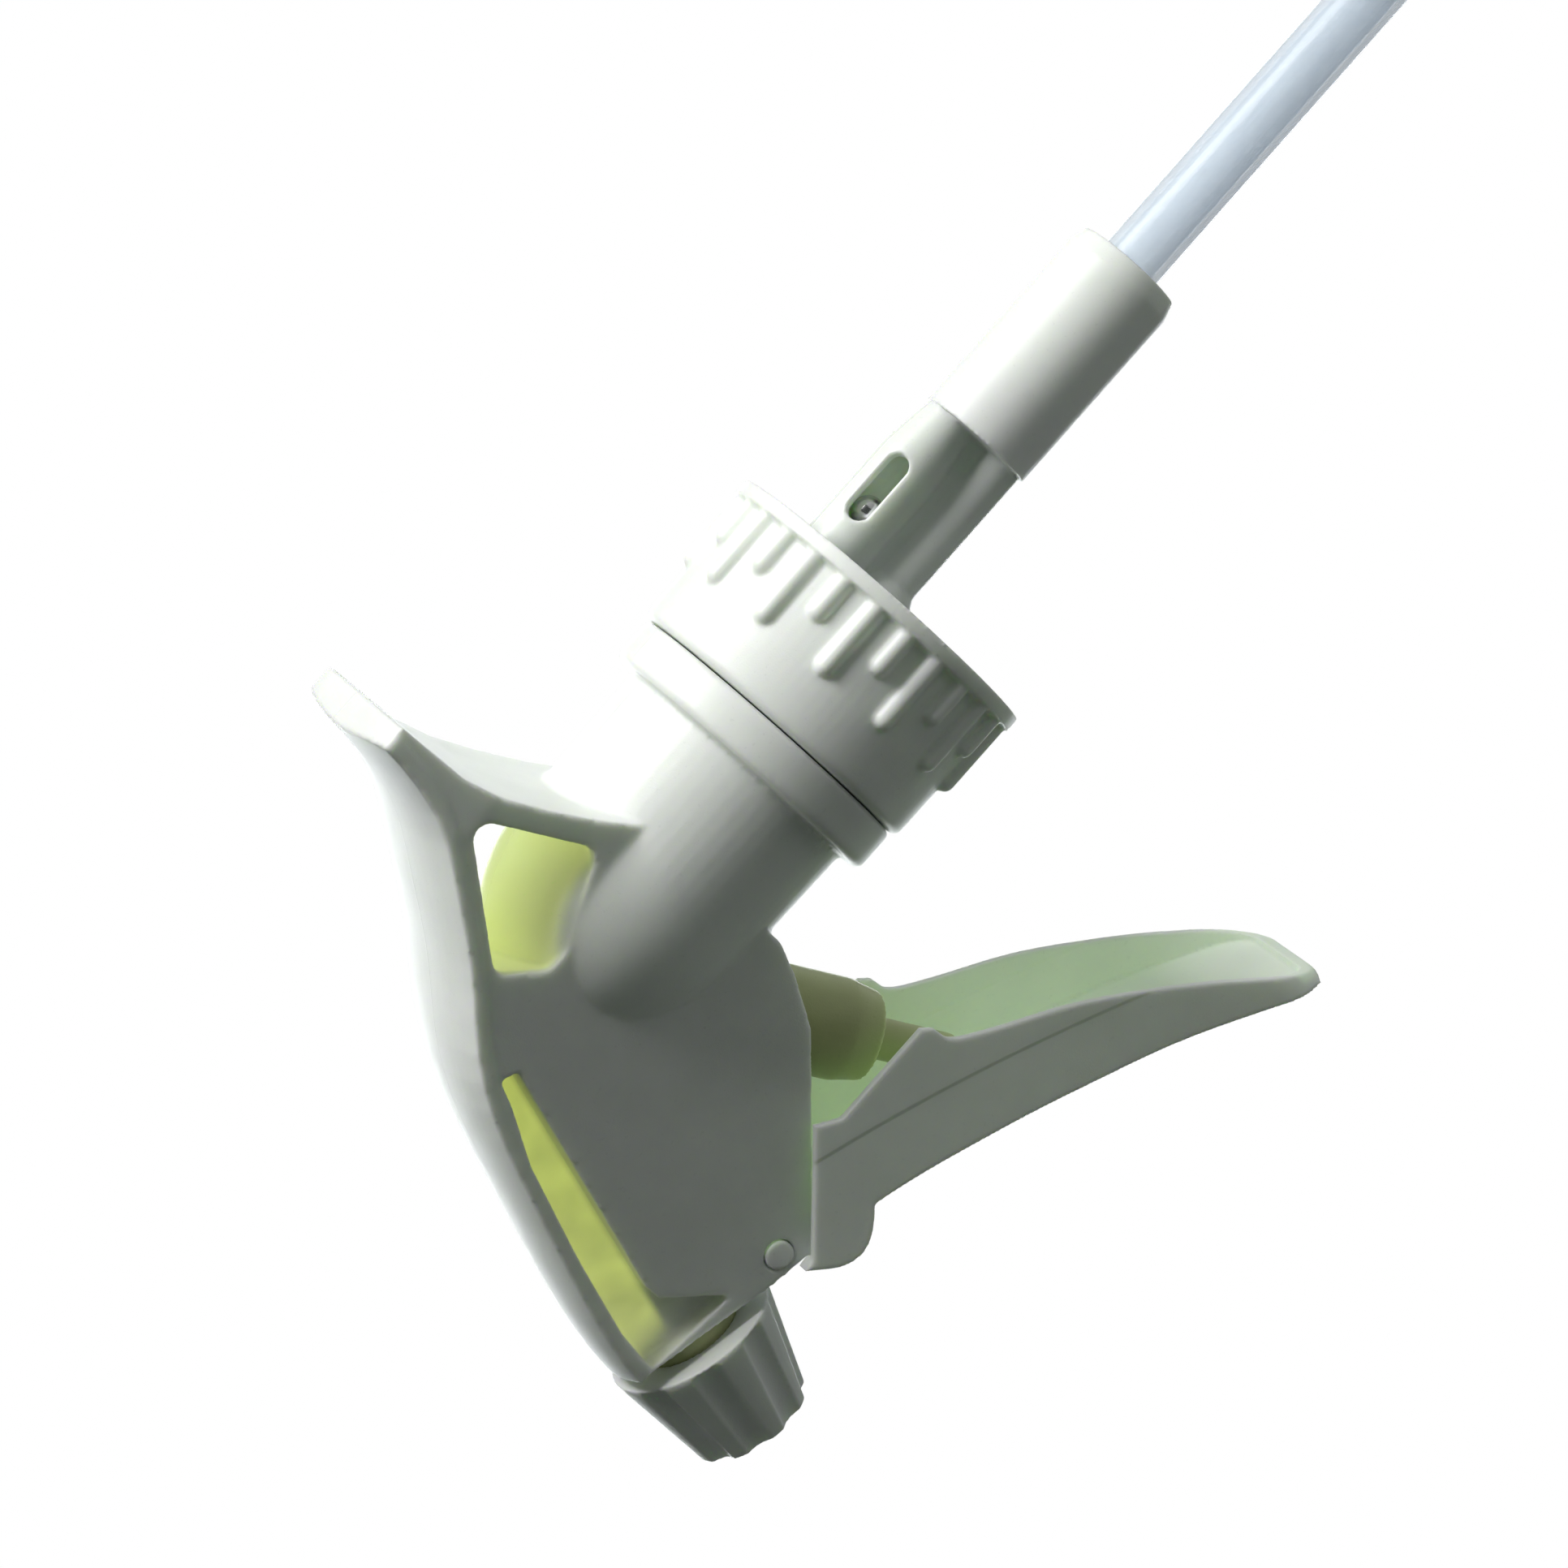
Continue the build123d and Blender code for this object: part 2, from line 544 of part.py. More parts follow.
lever_heel = [(-30.6, 26.0), (-28.9, 26.2), (-28.0, 27.0), (-28.0, 38.0), (-26.4, 40.2), (-35.4, 49.6)]
tip_centre_y = BARREL_MOUTH[0] + PISTON_TIP_U * cos(radians(BARREL_TILT))
pad_face_y = tip_centre_y - PISTON_ROD_R - TIP_GAP

arms = [(-36.4, 49.6), (PIVOT[0], PIVOT[1] + HUB_R), (PIVOT[0] + HUB_R, PIVOT[1]), (-31.6, 44.0),
        (-35.2, 41.0), (-36.4, 42.8), (-37.8, 45.5), (-37.5, 47.8)]
hub_half_w = half_width(PIVOT[0]) - SHELL_WALL - HUB_SIDE_GAP
corner_swing_r = hypot(plate_corner[0] - PIVOT[0], plate_corner[1] - PIVOT[1]) + PLATE_CLEARANCE


def lever_plan(inset):
    """The lever seen from the front, drawn in by an inset: straight sides and a round-cornered tip."""
    with BuildPart(mode=Mode.PRIVATE) as block:
        with BuildSketch(Plane.XZ):
            with Locations((0, LEVER_TIP_Z + inset)):
                Rectangle(2 * (lever_half_w - inset), 80.0, align=(Align.CENTER, Align.MIN))
            fillet(vertices().group_by(Axis.Y)[0], LEVER_CORNER_R - inset)
        extrude(amount=80.0, both=True)
    return block.part


hollow_front = [(y + LEVER_FRONT_WALL, z) for y, z in lever_front]
with BuildPart(mode=Mode.PRIVATE) as lever_hollow:
    with BuildSketch(Plane.YZ):
        with BuildLine():
            Spline(*hollow_front[:lever_bump + 1])
            Spline(*hollow_front[lever_bump:])
            Polyline(hollow_front[-1], (-56.0, -1.4), (-53.0, -6.0), (-20.0, 15.0), (-20.0, 60.0),
                     (-36.0, 60.0), hollow_front[0])
        make_face()
    extrude(amount=lever_half_w, both=True)
    add(lever_plan(LEVER_WALL), mode=Mode.INTERSECT)

with BuildPart() as trigger:
    with BuildSketch(Plane.YZ):
        with BuildLine():
            Spline(*lever_front[:lever_bump + 1])
            Spline(*lever_front[lever_bump:])
            Polyline(lever_front[-1], *lever_tip, lever_rear[0])
            Spline(*lever_rear)
            Polyline(lever_rear[-1], *lever_heel, lever_front[0])
        make_face()
    extrude(amount=lever_half_w, both=True)
    add(lever_plan(0), mode=Mode.INTERSECT)
    add(lever_hollow.part, mode=Mode.SUBTRACT)
    # a slot in the front wall for each of the housing's plates, which swing past it
    for side in (1, -1):
        with BuildSketch(Plane.YZ.offset(side * hub_half_w)):
            with Locations(PIVOT):
                Circle(corner_swing_r)
        extrude(amount=side * (half_width(PIVOT[0]) + PLATE_CLEARANCE - hub_half_w), mode=Mode.SUBTRACT)
    with BuildSketch(Plane.YZ):
        with BuildLine():
            Polyline(*arms, close=True)
        make_face()
        with Locations(PIVOT):
            Circle(HUB_R)
    extrude(amount=hub_half_w, both=True)
    with BuildSketch(Plane.YZ):
        with Locations(PIVOT):
            Circle(TRUNNION_R)
    extrude(amount=half_width(PIVOT[0]) + TRUNNION_PROUD, both=True)
    with BuildSketch(Plane.YZ):
        with BuildLine():
            Polyline((pad_face_y, 24.5), (pad_face_y, 31.5), (-38.6, 34.0), (-42.0, 26.0), (-41.5, 24.5),
                     close=True)
        make_face()
    extrude(amount=PAD_HALF_W, both=True)
finish(trigger.part, "trigger")

# ------------------------------------------------------------------------------------------- nozzle
cap_bore_r = SPIGOT_R + RUNNING_GAP
cap_end_wall_t = SPIGOT_LENGTH + END_CLEARANCE
insert_end_t = cap_length - CAP_END_RECESS
with BuildPart() as nozzle_cap:
    with BuildSketch(nozzle):
        with BuildLine():
            Polyline((0, 0), (cap_base_r, 0), (cap_base_r, CAP_RIM), (cap_front_r, cap_length - 0.5))
            RadiusArc((cap_front_r, cap_length - 0.5), (cap_front_r - 0.5, cap_length), -0.5)
            Polyline((cap_front_r - 0.5, cap_length), (0, cap_length), (0, 0))
        make_face()
    revolve(axis=along(nozzle))
    lean = atan2(cap_base_r - cap_front_r, cap_length - CAP_RIM)
    for step in range(CAP_FLUTES):
        turn = radians(CAP_FLUTE_PHASE) + step * 2 * pi / CAP_FLUTES
        radial = nozzle.x_dir * cos(turn) + nozzle.z_dir * sin(turn)
        flute_axis = nozzle.y_dir * cos(lean) - radial * sin(lean)
        centre_r = cap_base_r + CAP_FLUTE_R - CAP_FLUTE_DEPTH
        start = nozzle.origin + nozzle.y_dir * CAP_RIM + radial * centre_r
        with BuildSketch(Plane(origin=start, z_dir=flute_axis)):
            Circle(CAP_FLUTE_R)
        extrude(amount=cap_length + 2, mode=Mode.SUBTRACT)
    add(rod(nozzle, cap_bore_r, -1.0, cap_end_wall_t), mode=Mode.SUBTRACT)
    add(turned(nozzle, (0, cap_end_wall_t - 1), (INSERT_R + PRESS_GAP, cap_end_wall_t - 1),
               (INSERT_R + PRESS_GAP, insert_end_t), (1.3, insert_end_t), (1.9, cap_length + 0.1),
               (0, cap_length + 0.1)), mode=Mode.SUBTRACT)
finish(nozzle_cap.part, "nozzle_cap")

with BuildPart() as orifice_insert:
    add(turned(nozzle, (ORIFICE_R, insert_end_t - 0.5), (0.9, cap_end_wall_t), (INSERT_R, cap_end_wall_t),
               (INSERT_R, insert_end_t), (ORIFICE_R, insert_end_t)))
finish(orifice_insert.part, "orifice_insert")

with BuildPart() as nozzle_seal:
    ring_start, ring_end = RING_GROOVE_T + 2 * PRESS_GAP, groove_end - 2 * PRESS_GAP
    add(turned(nozzle, (groove_r + PRESS_GAP, ring_start), (SPIGOT_R, ring_start), (SPIGOT_R, ring_end),
               (groove_r + PRESS_GAP, ring_end)))
    fillet(nozzle_seal.edges(), 0.3)
finish(nozzle_seal.part, "nozzle_seal")

swirl_t = SPIGOT_LENGTH - SWIRL_LENGTH
with BuildPart() as swirl_core:
    add(turned(nozzle, (0, swirl_t), (SPIGOT_BORE_R - PRESS_GAP, swirl_t),
               (SPIGOT_BORE_R - PRESS_GAP, SPIGOT_LENGTH), (0, SPIGOT_LENGTH)))
    for step in range(3):
        turn = step * 2 * pi / 3
        radial = nozzle.x_dir * cos(turn) + nozzle.z_dir * sin(turn)
        with BuildSketch(Plane(origin=nozzle.origin + radial * SPIGOT_BORE_R, z_dir=nozzle.y_dir)):
            Circle(0.5)
        extrude(amount=SPIGOT_LENGTH + 1, mode=Mode.SUBTRACT)
finish(swirl_core.part, "swirl_core")

with BuildPart() as discharge_valve:
    head_top = VALVE_SEAT_T + VALVE_HEAD_H
    stem_top = VALVE_SEAT_T + VALVE_STEM_L
    add(turned(nozzle, (0, VALVE_SEAT_T), (VALVE_HEAD_R, VALVE_SEAT_T), (VALVE_HEAD_R, head_top),
               (0.7, head_top), (0.5, stem_top), (0, stem_top)))
finish(discharge_valve.part, "discharge_valve")

with BuildPart() as discharge_spring:
    add(coil(nozzle, VALVE_SPRING_R, VALVE_SPRING_WIRE, VALVE_SEAT_T + VALVE_HEAD_H + SPRING_SEAT_GAP,
             swirl_t - SPRING_SEAT_GAP, VALVE_SPRING_TURNS))
finish(discharge_spring.part, "discharge_spring")

# -------------------------------------------------------------------------------- stem and its balls
rear = Plane(origin=(0, REAR_TUBE_Y, 0), x_dir=(1, 0, 0), z_dir=(0, -1, 0))
front = Plane(origin=(0, FRONT_TUBE_Y, 0), x_dir=(1, 0, 0), z_dir=(0, -1, 0))
lower = Plane(origin=(0, SLEEVE_Y, 0), x_dir=(1, 0, 0), z_dir=(0, -1, 0))
plug_foot = SLEEVE_TOP - PLUG_DEPTH
ball_seat_z = BALL_CHAMBER_FLOOR - (ball_bore_r - BYPASS_R)
slot_way = (cos(radians(SLOT_TURN)), sin(radians(SLOT_TURN)), 0)

with BuildPart() as intake_stem:
    add(turned(neck, (0, STEM_BOSS_Z), (STEM_BOSS_R, STEM_BOSS_Z), (STEM_BOSS_R, stem_flange_z),
               (stem_flange_r, stem_flange_z), (stem_flange_r, stem_flange_top),
               (SPIGOT_STEM_R, stem_flange_top),
               (SPIGOT_STEM_R, inlet_seat_z - 0.4), (SPIGOT_STEM_R - 0.4, inlet_seat_z), (0, inlet_seat_z)))
    add(turned(front, (0, SLEEVE_TOP), (FRONT_TUBE_R, SLEEVE_TOP), (FRONT_TUBE_R, -1.9),
               (FRONT_TUBE_R + 0.7, -0.7), (FRONT_TUBE_R + 0.7, STEM_BOSS_Z + 0.5), (0, STEM_BOSS_Z + 0.5)))
    add(turned(rear, (0, SLEEVE_TOP), (REAR_TUBE_R - 0.7, SLEEVE_TOP),
               (REAR_TUBE_R - 0.7, SLEEVE_TOP + 0.4),
               (REAR_TUBE_R, SLEEVE_TOP + 5.4), (REAR_TUBE_R, STEM_BOSS_Z + 0.5), (0, STEM_BOSS_Z + 0.5)))
    with Locations((0, (FRONT_TUBE_Y + REAR_TUBE_Y) / 2, (SLEEVE_TOP + STEM_BOSS_Z) / 2)):
        Box(2.6, REAR_TUBE_Y - FRONT_TUBE_Y, STEM_BOSS_Z - SLEEVE_TOP)
    add(rod(lower, PLUG_R, plug_foot, SLEEVE_TOP))
    add(turned(front, (0, plug_foot - 1), (FRONT_BORE_R, plug_foot - 1), (FRONT_BORE_R, inlet_seat_z - 2.5),
               (0, inlet_seat_z - 2.5)), mode=Mode.SUBTRACT)
    add(turned(neck, (0, 8.0), (FRONT_BORE_R, 8.0), (FRONT_BORE_R, inlet_seat_z - 0.9),
               (FRONT_BORE_R + 1.1, inlet_seat_z + 0.2), (0, inlet_seat_z + 0.2)), mode=Mode.SUBTRACT)
    add(turned(rear, (0, plug_foot - 1), (BYPASS_R, plug_foot - 1), (BYPASS_R, ball_seat_z),
               (ball_bore_r, BALL_CHAMBER_FLOOR), (ball_bore_r, BALL_CHAMBER_TOP), (0, BALL_CHAMBER_TOP)),
        mode=Mode.SUBTRACT)
    with BuildSketch(Plane(origin=(0, REAR_TUBE_Y, BALL_CHAMBER_TOP - SLOT_HEIGHT / 2),
                           x_dir=(0, 0, 1), z_dir=slot_way)):
        SlotOverall(SLOT_HEIGHT, SLOT_WIDTH)
    extrude(amount=REAR_TUBE_R + 1, mode=Mode.SUBTRACT)
    with Locations((0, -5.8, stem_flange_z)):
        Cylinder(0.6, 20, mode=Mode.SUBTRACT)
finish(intake_stem.part, "intake_stem")

with BuildPart() as bypass_ball:
    with Locations((0, REAR_TUBE_Y, BALL_CHAMBER_TOP - BALL_R - 0.06)):
        Sphere(BALL_R)
finish(bypass_ball.part, "bypass_ball")

with BuildPart() as inlet_ball:
    with Locations((0, 0, inlet_ball_z)):
        Sphere(INLET_BALL_R)
finish(inlet_ball.part, "inlet_ball")

with BuildPart() as neck_gasket:
    add(turned(neck, (gasket_bore_r, gasket_z), (gasket_r, gasket_z), (gasket_r, stem_flange_z),
               (gasket_bore_r, stem_flange_z)))
finish(neck_gasket.part, "neck_gasket")

tube_bore_r = TUBE_OUTER_R + PRESS_GAP / 2
with BuildPart() as stem_sleeve:
    add(turned(lower, (sleeve_bore_r, SLEEVE_TOP), (sleeve_r, SLEEVE_TOP), (sleeve_r, SLEEVE_BOTTOM + 1.8),
               (sleeve_r - 0.5, SLEEVE_BOTTOM), (tube_bore_r, SLEEVE_BOTTOM), (tube_bore_r, TUBE_SEAT_Z),
               (TUBE_INNER_R + 0.3, TUBE_SEAT_Z), (sleeve_bore_r - 0.5, plug_foot - 1.6),
               (sleeve_bore_r - 0.5, plug_foot), (sleeve_bore_r, plug_foot)))
finish(stem_sleeve.part, "stem_sleeve")

with BuildPart() as dip_tube:
    add(turned(lower, (TUBE_INNER_R, TUBE_TIP_Z), (TUBE_OUTER_R, TUBE_TIP_Z), (TUBE_OUTER_R, TUBE_SEAT_Z),
               (TUBE_INNER_R, TUBE_SEAT_Z)))
    cut = Plane(origin=(0, SLEEVE_Y - TUBE_OUTER_R, TUBE_TIP_Z), x_dir=(1, 0, 0),
                z_dir=(0, -TUBE_TIP_CUT, 2 * TUBE_OUTER_R))
    split(bisect_by=cut, keep=Keep.TOP)
finish(dip_tube.part, "dip_tube")
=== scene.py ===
"""Looks of a trigger sprayer head: moulded shells, stem, dip tube, springs and their finishes."""
import json
import math

import bpy
from bpy.props import FloatProperty, FloatVectorProperty, IntProperty, PointerProperty
from bpy.types import Operator, Panel, PropertyGroup
from mathutils import Matrix, Vector


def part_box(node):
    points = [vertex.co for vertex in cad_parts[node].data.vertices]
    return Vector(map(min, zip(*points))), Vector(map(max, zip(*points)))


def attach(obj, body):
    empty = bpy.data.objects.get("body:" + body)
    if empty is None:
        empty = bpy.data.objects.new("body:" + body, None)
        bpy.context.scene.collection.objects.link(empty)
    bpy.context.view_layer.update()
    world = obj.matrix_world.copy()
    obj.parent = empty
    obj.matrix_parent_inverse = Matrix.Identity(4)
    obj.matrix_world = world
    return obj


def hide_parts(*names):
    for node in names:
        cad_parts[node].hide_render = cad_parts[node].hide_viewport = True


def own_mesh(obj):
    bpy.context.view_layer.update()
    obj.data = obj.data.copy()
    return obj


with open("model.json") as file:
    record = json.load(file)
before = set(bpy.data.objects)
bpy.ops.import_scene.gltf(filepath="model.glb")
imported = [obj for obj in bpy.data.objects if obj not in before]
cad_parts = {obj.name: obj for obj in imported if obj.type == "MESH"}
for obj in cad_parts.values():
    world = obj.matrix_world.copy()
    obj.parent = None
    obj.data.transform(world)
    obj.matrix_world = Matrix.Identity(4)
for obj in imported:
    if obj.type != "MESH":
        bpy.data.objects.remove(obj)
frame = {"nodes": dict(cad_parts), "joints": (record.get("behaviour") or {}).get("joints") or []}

bl_info = {
    "name": "Trigger Sprayer Head",
    "version": (1, 0, 0),
    "blender": (4, 5, 0),
    "location": "View3D > Sidebar > Sprayer",
    "description": "Builds the visible shells, stem, tube and springs of a trigger sprayer head",
    "category": "Object",
}

MM = 0.001

# Lines in the side view, in millimetres: two points (along Y, up Z) of a straight edge
SHELF_EDGE = ((-25.2, 61.6), (0.1, 54.4))
WINDOW_TOP = ((8.6, 49.2), (21.2, 40.1))
WINDOW_FOOT = ((9.3, 34.5), (21.2, 40.1))
# Shallow curves in the side view: constant, slope and bend
BAND_UNDERSIDE = (57.0, -0.395, -0.0017)
LEVER_FRONT = (-56.4, 0.6475, -0.0040)
LEVER_CREASE = (-49.0, 0.60, -0.0030)
# Most triangles in each rebuilt skin
HOUSING_FACES = 190000
CLOSURE_FACES = 150000
MEDIUM_FACES = 130000
PUMP_FACES = 120000
SMALL_FACES = 90000
# Middle of the view, and the disc that the head stands on
VIEW_TARGET = Vector((0, -4.95 * MM, 18.5 * MM))
FLOOR_RADIUS = 0.34
FLOOR_GAP = 1.5 * MM
PAPER = (0.82, 0.82, 0.81)
PAPER_FIBRE = (0.78, 0.78, 0.77)
# Colour of the painted glow inside the trigger, standing in for light coming through its thin walls.
PAINTED_LEVER_GLOW = (0.06, 0.10, 0.04)
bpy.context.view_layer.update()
NECK_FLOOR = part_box("dip_tube")[0].z
bpy.ops.object.select_all(action="DESELECT")


# ------------------------------------------------------------------------------------- settings
def length(name, description, default, low=0.0):
    """A length in metres that a user may change."""
    return FloatProperty(name=name, description=description, default=default, min=low,
                         unit="LENGTH", precision=5)


def colour(name, description, default):
    """A colour that a user may change."""
    return FloatVectorProperty(name=name, description=description, default=default,
                               subtype="COLOR", min=0, max=1)


class SprayerSizes(PropertyGroup):
    """Sizes of the moulded detail."""
    shell_cell: length("Housing cell", "Cell of the housing's rebuilt skin", 0.27 * MM)
    fine_cell: length("Fine cell", "Cell of the skin on the smaller mouldings", 0.2 * MM)
    seam_width: length("Seam width", "Width of the mould seam along the middle", 0.16 * MM)
    rounding: IntProperty(name="Rounding", description="Smoothing steps that round the edges",
                          default=4)


class SprayerColours(PropertyGroup):
    """Colours of the plastics and metals, and of the painted glow in thin walls."""
    shell: colour("Shell", "Off-white moulded plastic", (0.84, 0.87, 0.84))
    natural: colour("Natural", "Unpigmented plastic of the pump", (0.58, 0.62, 0.32))
    # Colour of the painted glow where light would come through the thin web and window walls: an emission,
    # not the plastic's own colour.
    painted_web_glow: colour("Web", "Thin walls where light comes through the plastic", (0.33, 0.37, 0.07))
    stem: colour("Stem", "Unpigmented plastic of the stem", (0.80, 0.84, 0.80))
    tube: colour("Tube", "Clear plastic of the dip tube", (0.72, 0.80, 0.90))
    rubber: colour("Rubber", "Soft seals", (0.62, 0.61, 0.55))
    foam: colour("Foam", "Neck gasket", (0.86, 0.86, 0.83))
    steel: colour("Steel", "Springs and balls", (0.66, 0.66, 0.68))


class SprayerStage(PropertyGroup):
    """Camera and lights."""
    azimuth: FloatProperty(name="Azimuth", description="Degrees round the head; 0 looks along +Y",
                           default=115.0)
    elevation: FloatProperty(name="Elevation", description="Degrees above the horizon", default=2.0)
    roll: FloatProperty(name="Roll", description="Degrees the camera is turned about its own axis",
                        default=-138.5)
    distance: length("Distance", "From the camera to the head", 0.70)
    view_width: length("View width", "Width of the view at the head", 144.3 * MM)
    key_power: FloatProperty(name="Key", description="Power of the key light in watts", default=8.5)
    fill_power: FloatProperty(name="Fill", description="Power of the far side's light in watts", default=6.0)
    ambient: FloatProperty(name="Ambient", description="Strength of the room's light", default=0.075)


# ------------------------------------------------------------------------------------ shader maths
class Wire:
    """A shader socket with arithmetic: an expression on wires adds its Math nodes."""

    def __init__(self, material, socket):
        self.material = material
        self.socket = socket

    def math(self, operation, *values):
        return self.material.node("ShaderNodeMath", {"operation": operation}, *values)

    def __add__(self, other):
        return self.math("ADD", self, other)

    def __radd__(self, other):
        return self.math("ADD", other, self)

    def __sub__(self, other):
        return self.math("SUBTRACT", self, other)

    def __rsub__(self, other):
        return self.math("SUBTRACT", other, self)

    def __mul__(self, other):
        return self.math("MULTIPLY", self, other)

    def __rmul__(self, other):
        return self.math("MULTIPLY", other, self)

    def size(self):
        """The wire without its sign."""
        return self.math("ABSOLUTE", self)

    def between(self, low, high):
        """0 below the low value, 1 above the high one, smooth between them."""
        settings = {"interpolation_type": "SMOOTHSTEP"}
        ends = {"From Min": low, "From Max": high}
        return self.material.node("ShaderNodeMapRange", settings, Value=self, **ends)


class Finish:
    """A material built from expressions on wires."""

    def __init__(self, name, base, roughness, **constants):
        self.made = bpy.data.materials.new(name)
        self.made.use_nodes = True
        self.tree = self.made.node_tree
        self.shader = self.tree.nodes["Principled BSDF"]
        self.shader.inputs["Base Color"].default_value = (*base, 1)
        self.shader.inputs["Roughness"].default_value = roughness
        for socket, value in constants.items():
            self.shader.inputs[socket.replace("_", " ")].default_value = value
        self.place = self.node("ShaderNodeTexCoord", {}, output="Object")

    def node(self, kind, settings, *values, output=0, **inputs):
        """Add a node: its settings first, then the values or wires of its sockets."""
        made = self.tree.nodes.new(kind)
        for name, value in settings.items():
            setattr(made, name, value)
        for key, value in [*enumerate(values), *inputs.items()]:
            socket = made.inputs[key]
            if isinstance(value, Wire):
                self.tree.links.new(value.socket, socket)
            else:
                socket.default_value = value
        return Wire(self, made.outputs[output])

    def axes(self):
        """Wires for the place along X, Y and Z, in millimetres."""
        split = self.node("ShaderNodeSeparateXYZ", {}, Vector=self.place).socket.node
        return [Wire(self, output) * (1 / MM) for output in split.outputs]

    def noise(self, size, detail=2.0, stretch=(1, 1, 1), rough=0.5):
        """Even noise whose features are about the given size, in metres."""
        place = self.place
        if stretch != (1, 1, 1):
            place = self.node("ShaderNodeMapping", {}, Vector=self.place, Scale=stretch)
        return self.node("ShaderNodeTexNoise", {}, Vector=place, Scale=1 / size, Detail=detail,
                         Roughness=rough)

    def mix(self, share, first, second):
        """A colour between two, by a share from 0 to 1."""
        made = self.tree.nodes.new("ShaderNodeMix")
        made.data_type = "RGBA"
        for key, value in ((0, share), (6, first), (7, second)):
            if isinstance(value, Wire):
                self.tree.links.new(value.socket, made.inputs[key])
            else:
                made.inputs[key].default_value = value if key == 0 else (*value, 1)
        return Wire(self, made.outputs[2])

    def feed(self, socket, wire):
        self.tree.links.new(wire.socket, self.shader.inputs[socket])

    def relief(self, height, depth):
        """A bump from a height between 0 and 1, as deep as given in metres."""
        bump = self.node("ShaderNodeBump", {}, Strength=1.0, Distance=depth, Height=height)
        self.feed("Normal", bump)


def shade(base, factor):
    """A colour made lighter or darker."""
    return tuple(min(1.0, channel * factor) for channel in base)


def height_over(along, up, line):
    """How far a side-view place lies over a straight line between two points."""
    (y0, z0), (y1, z1) = line
    slope = (z1 - z0) / (y1 - y0)
    return up - (along * slope + (z0 - slope * y0))


def curve_at(along, terms):
    """A shallow curve: constant, slope and bend."""
    return along * along * terms[2] + along * terms[1] + terms[0]


def moulded(name, base, warm, depth, roughness=0.4, seam=0.0, step=None):
    """Moulded polypropylene: light sinks in, and the skin has mould grain, flow marks and fine scuffs."""
    made = Finish(name, base, roughness, Subsurface_Weight=0.6, Subsurface_Scale=depth,
                  Subsurface_Radius=(0.85, 1.0, 0.62), IOR=1.49)
    cloud = made.noise(9 * MM, 3.0)
    specks = made.noise(0.45 * MM, 2.0).between(0.66, 0.74)
    tone = made.mix(cloud.between(0.35, 0.7) * 0.6, base, warm)
    made.feed("Base Color", made.mix(specks * 0.22, tone, shade(warm, 0.8)))
    grain = made.noise(0.16 * MM, 3.0)
    flow = made.noise(2.2 * MM, 2.0, stretch=(1, 1, 0.35))
    scuffs = made.noise(1.1 * MM, 4.0, stretch=(3.0, 1, 0.25), rough=0.7).between(0.58, 0.7)
    made.feed("Roughness", roughness - 0.07 + grain * 0.12 + flow * 0.08 - scuffs * 0.1)
    height = grain * 0.55 + flow * 0.35 - scuffs * 0.15
    if seam or step:
        x, y, z = made.axes()
    if seam:
        height = height + (1 - x.size().between(seam / MM * 0.3, seam / MM)) * 2.0
    if step:
        height = height + (y - curve_at(z, step)).between(-0.25, 0.25) * 5.0
    made.relief(height, 0.02 * MM)
    return made


def light_through(made, mask, colour):
    """Stand in for light coming through a thin wall: a faint glow of its own, where the mask is 1."""
    made.feed("Emission Color", made.mix(mask, (0, 0, 0), colour))
    made.shader.inputs["Emission Strength"].default_value = 1.0


def clear_tube(name, base):
    """Extruded clear plastic: faintly hazy, with fine draw lines along its length."""
    made = Finish(name, base, 0.22, IOR=1.5, Alpha=0.5, Transmission_Weight=0.2, Subsurface_Weight=0.3,
                  Subsurface_Scale=1.2 * MM, Subsurface_Radius=(0.7, 0.85, 1.0))
    lines = made.noise(0.35 * MM, 3.0, stretch=(1, 1, 0.02))
    haze = made.noise(4 * MM, 3.0, stretch=(1, 1, 0.3))
    made.feed("Base Color", made.mix(haze.between(0.35, 0.7) * 0.5, base, shade(base, 1.12)))
    made.feed("Roughness", 0.14 + haze * 0.12 + lines * 0.08)
    made.relief(lines * 0.7 + haze * 0.3, 0.03 * MM)
    return made.made


def steel(name, base, along):
    """Bright steel with fine marks, stretched along one way on drawn wire."""
    made = Finish(name, base, 0.16, Metallic=1.0)
    marks = made.noise(0.08 * MM, 3.0, stretch=along)
    stain = made.noise(1.3 * MM, 2.0)
    made.feed("Base Color", made.mix(stain.between(0.4, 0.75) * 0.5, base, shade(base, 0.72)))
    made.feed("Roughness", 0.07 + marks * 0.16 + stain * 0.06)
    made.relief(marks, 0.004 * MM)
    return made.made


def elastic(name, base, cell, depth, roughness):
    """Soft rubber or foam: a matte skin with small pores."""
    made = Finish(name, base, roughness, Subsurface_Weight=0.25, Subsurface_Scale=0.8 * MM)
    pores = made.node("ShaderNodeTexVoronoi", {}, Vector=made.place, Scale=1 / cell)
    bloom = made.noise(1.5 * MM, 3.0)
    made.feed("Base Color", made.mix(bloom.between(0.4, 0.7) * 0.6, base, shade(base, 1.15)))
    made.feed("Roughness", roughness - 0.08 + pores * 0.12 + bloom * 0.06)
    made.relief(pores, depth)
    return made.made


# ------------------------------------------------------------------------------------ mesh helpers
def choose(piece):
    """Select one object alone and make it the active one."""
    bpy.ops.object.select_all(action="DESELECT")
    piece.select_set(True)
    bpy.context.view_layer.objects.active = piece


def edit(piece, *steps):
    """Run mesh operators on all of a piece, in edit mode."""
    choose(piece)
    bpy.ops.object.mode_set(mode="EDIT")
    bpy.ops.mesh.select_all(action="SELECT")
    for step, settings in steps:
        step(**settings)
    bpy.ops.object.mode_set(mode="OBJECT")


def modify(piece, kind, **settings):
    """Add one modifier and apply it."""
    choose(piece)
    made = piece.modifiers.new(kind.title(), kind)
    for name, value in settings.items():
        setattr(made, name, value)
    bpy.ops.object.modifier_apply(modifier=made.name)


